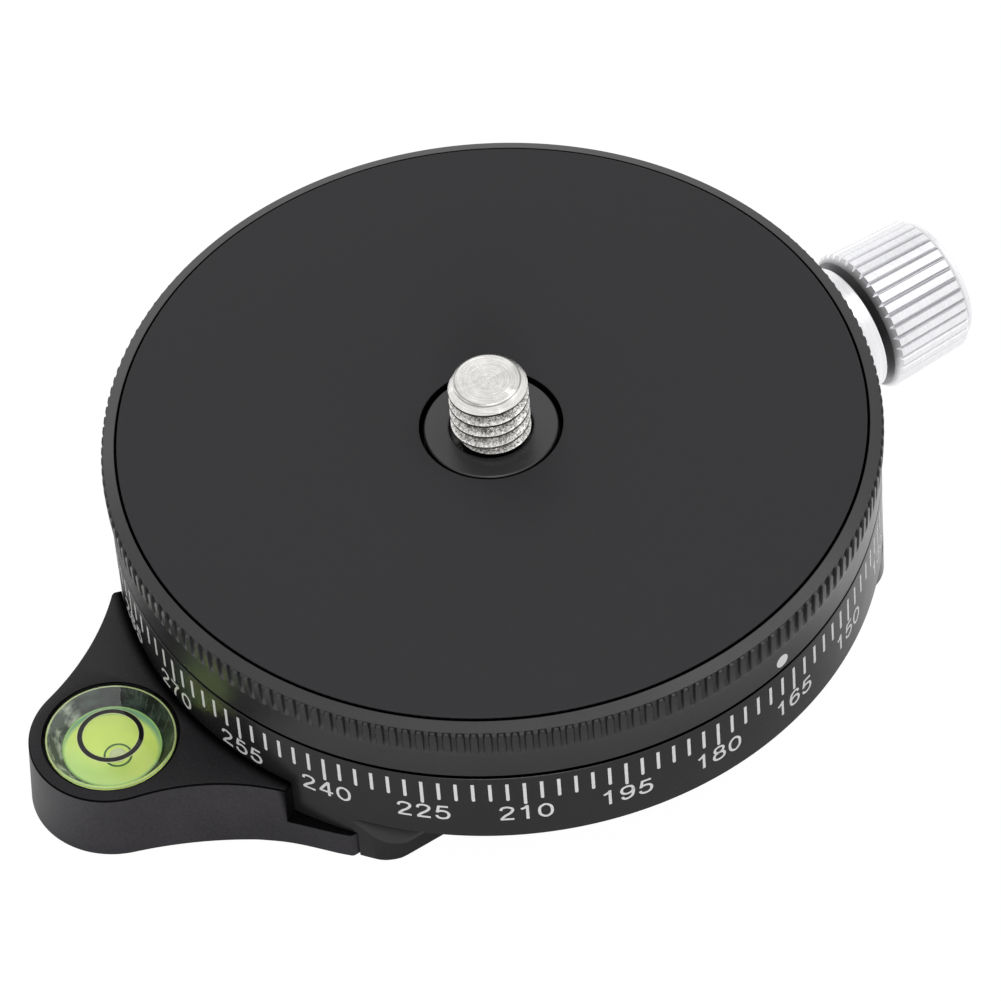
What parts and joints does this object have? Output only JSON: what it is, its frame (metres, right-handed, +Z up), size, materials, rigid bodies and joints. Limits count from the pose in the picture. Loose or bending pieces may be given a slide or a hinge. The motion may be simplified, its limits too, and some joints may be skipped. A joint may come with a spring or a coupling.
{
  "type": "panoramic tripod base",
  "caption": "Low round panning base for a tripod: a knurled platform with a camera screw turns on a graduated drum with a lock knob, a bull's-eye level and a dovetail foot.",
  "frame": {"origin": "On the pan axis, in the plane of the foot's flat underside.", "axes": "+Z up along the pan axis through the camera screw; +X out along the lock knob's axis; the level bracket reaches out along -X."},
  "size_m": [0.0873, 0.062, 0.0234],
  "materials": {
    "body_black": "fine black anodised, satin",
    "bracket_black": "bead-blasted black anodised, matt",
    "platform_black": "black anodised, satin, knurled rim",
    "pad_black": "matt, very fine grain",
    "stainless": "lathe-turned",
    "screw_steel": "plain",
    "brass": "turned",
    "acetal": "matt white",
    "clear_acrylic": "clear, polished",
    "level_fluid": "clear yellow-green fluid",
    "seal_black": "matt black",
    "silver_anodised": "clear anodised, bright satin"
  },
  "bodies": {
    "base": {"base_body": "body_black", "glide_ring": "acetal", "thrust_washer": "acetal", "socket_plate": "stainless", "plate_screw_1": "screw_steel", "plate_screw_2": "screw_steel", "plate_screw_3": "screw_steel", "plate_screw_4": "screw_steel", "reducer_bushing": "brass", "level_bracket": "bracket_black", "bracket_screw_1": "screw_steel", "bracket_screw_2": "screw_steel", "level_vial": "clear_acrylic", "level_fluid": "level_fluid", "level_plug": "acetal", "level_seal": "seal_black", "knob_collar": "silver_anodised"},
    "platform": {"rotating_platform": "platform_black", "grip_pad": "pad_black", "camera_screw": "stainless", "spindle": "stainless", "spindle_screw_1": "screw_steel", "spindle_screw_2": "screw_steel", "spindle_screw_3": "screw_steel"},
    "shoe": {"brake_shoe": "brass"},
    "knob": {"lock_knob": "silver_anodised", "lock_screw": "screw_steel", "knob_screw": "screw_steel"}
  },
  "joints": [
    {"name": "platform_pan", "type": "hinge", "parent": "base", "child": "platform", "pos_m": [0, 0, 0], "axis": [0, 0, 1], "continuous": true},
    {"name": "shoe_travel", "type": "slide", "parent": "base", "child": "shoe", "axis": [1, 0, 0], "range_m": [-0.0004, 0.0004]},
    {"name": "knob_turn", "type": "hinge", "parent": "shoe", "child": "knob", "pos_m": [0.036, 0, 0.0061], "axis": [1, 0, 0], "range_deg": [-180, 180]}
  ],
  "couplings": [
    {"joint": "knob_turn", "follows": "shoe_travel", "rad_per_m": 7850}
  ]
}
